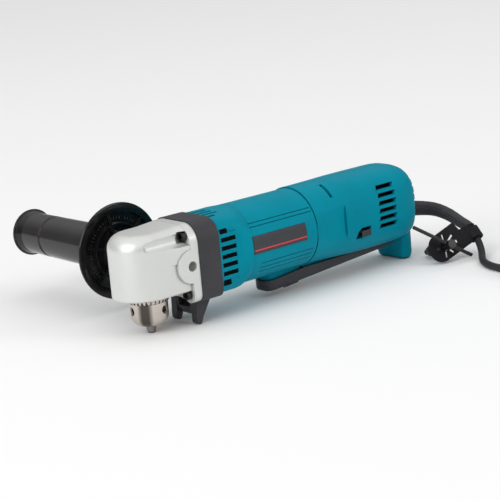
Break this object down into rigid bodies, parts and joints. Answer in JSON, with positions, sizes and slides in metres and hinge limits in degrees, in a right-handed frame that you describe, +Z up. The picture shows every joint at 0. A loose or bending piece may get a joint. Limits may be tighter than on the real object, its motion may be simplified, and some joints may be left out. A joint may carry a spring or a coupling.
{
  "type": "right angle drill",
  "caption": "Corded right angle drill with a keyed chuck under a cast gear head, round motor housing, paddle switch and side handle.",
  "frame": {"origin": "on the spindle axis at the closed jaws' tips, level with the surface that the drill stands on", "axes": "+X from the spindle to the rear, +Y towards the side handle, +Z up"},
  "size_m": [0.4905, 0.4147, 0.091],
  "materials": {
    "cast": "satin silver paint",
    "teal": "moulded teal",
    "dark": "moulded charcoal",
    "grip": "ribbed dark grey",
    "rubber": "matte black",
    "plate": "dark foil",
    "screw": "blackened",
    "bearing": "ground",
    "chrome": "turned and plated",
    "jaw": "hardened",
    "iron": "laminated",
    "copper": "plain",
    "carbon": "matte",
    "lens": "clear",
    "board": "moulded ivory"
  },
  "bodies": {
    "body": {"gear_housing": "cast", "front_collar": "dark", "lamp_lens": "lens", "lamp_board": "board", "head_screws": "screw", "spindle_bearing_upper": "bearing", "spindle_bearing_lower": "bearing", "layshaft_bearing_front": "bearing", "layshaft_bearing_rear": "bearing", "bearing_plate": "dark", "motor_housing": "teal", "name_plate": "plate", "rear_housing_left": "teal", "rear_housing_right": "teal", "rear_screws": "screw", "armature_bearing_front": "bearing", "armature_bearing_rear": "bearing", "field_core": "iron", "field_coils": "copper", "brush_holders": "copper", "carbon_brushes": "carbon", "brush_springs": "bearing", "switch_body": "dark", "cord_clamp": "dark", "cord_guard": "rubber", "cord": "rubber", "cord_coil": "rubber", "cord_tail": "rubber", "coil_tie": "dark", "plug_body": "rubber", "plug_pins": "copper", "key_holder": "rubber", "chuck_key": "screw", "key_bar": "screw", "hand_guard": "dark", "handle_grip": "grip", "handle_cap": "dark", "handle_stud": "bearing", "paddle_pin": "bearing"},
    "armature": {"armature_shaft": "bearing", "armature_core": "iron", "armature_winding": "copper", "commutator": "copper", "fan": "board"},
    "layshaft": {"layshaft": "bearing", "reduction_gear": "bearing"},
    "spindle": {"spindle": "bearing", "bevel_gear": "bearing", "chuck_body": "chrome"},
    "chuck_ring": {"chuck_sleeve": "chrome", "chuck_nut": "chrome"},
    "jaw_1": {"chuck_jaw_1": "jaw"},
    "jaw_2": {"chuck_jaw_2": "jaw"},
    "jaw_3": {"chuck_jaw_3": "jaw"},
    "paddle": {"paddle_lever": "dark", "lock_pin": "bearing"},
    "lock": {"lock_lever": "dark"},
    "reverse": {"reverse_lever": "dark"},
    "button": {"switch_button": "board"}
  },
  "joints": [
    {"name": "armature_spin", "type": "hinge", "parent": "body", "child": "armature", "pos_m": [0.1, 0, 0.052], "axis": [1, 0, 0], "continuous": true},
    {"name": "layshaft_spin", "type": "hinge", "parent": "body", "child": "layshaft", "pos_m": [0.04, 0, 0.0668], "axis": [1, 0, 0], "continuous": true},
    {"name": "spindle_spin", "type": "hinge", "parent": "body", "child": "spindle", "pos_m": [0, 0, 0.04], "axis": [0, 0, 1], "continuous": true},
    {"name": "chuck_ring_turn", "type": "hinge", "parent": "spindle", "child": "chuck_ring", "pos_m": [0, 0, 0.03], "axis": [0, 0, 1], "range_deg": [0, 2900]},
    {"name": "jaw_1_slide", "type": "slide", "parent": "spindle", "child": "jaw_1", "axis": [-0.1844, -0.2048, 0.9613], "range_m": [0, 0.01615]},
    {"name": "jaw_2_slide", "type": "slide", "parent": "spindle", "child": "jaw_2", "axis": [0.2696, -0.0573, 0.9613], "range_m": [0, 0.01615]},
    {"name": "jaw_3_slide", "type": "slide", "parent": "spindle", "child": "jaw_3", "axis": [-0.0852, 0.2621, 0.9613], "range_m": [0, 0.01615]},
    {"name": "paddle_press", "type": "hinge", "parent": "body", "child": "paddle", "pos_m": [0.257, 0, 0.023], "axis": [0, 1, 0], "range_deg": [0, 1.9], "stiffness_Nm_per_rad": 4, "springref_deg": -2.86},
    {"name": "lock_swing", "type": "hinge", "parent": "paddle", "child": "lock", "pos_m": [0.153, 0, 0.0124], "axis": [0, -1, 0], "range_deg": [0, 12], "stiffness_Nm_per_rad": 0.1, "springref_deg": -11.46},
    {"name": "reverse_slide", "type": "slide", "parent": "body", "child": "reverse", "axis": [-1, 0, 0], "range_m": [0, 0.005]},
    {"name": "button_slide", "type": "slide", "parent": "body", "child": "button", "axis": [0, 0, 1], "range_m": [0, 0.0023]}
  ],
  "couplings": [
    {"joint": "layshaft_spin", "follows": "armature_spin", "ratio": -0.23333},
    {"joint": "spindle_spin", "follows": "armature_spin", "ratio": -0.085556},
    {"joint": "jaw_1_slide", "follows": "chuck_ring_turn", "m_per_rad": 0.00031831},
    {"joint": "jaw_2_slide", "follows": "chuck_ring_turn", "m_per_rad": 0.00031831},
    {"joint": "jaw_3_slide", "follows": "chuck_ring_turn", "m_per_rad": 0.00031831},
    {"joint": "button_slide", "follows": "paddle_press", "m_per_rad": 0.067}
  ]
}
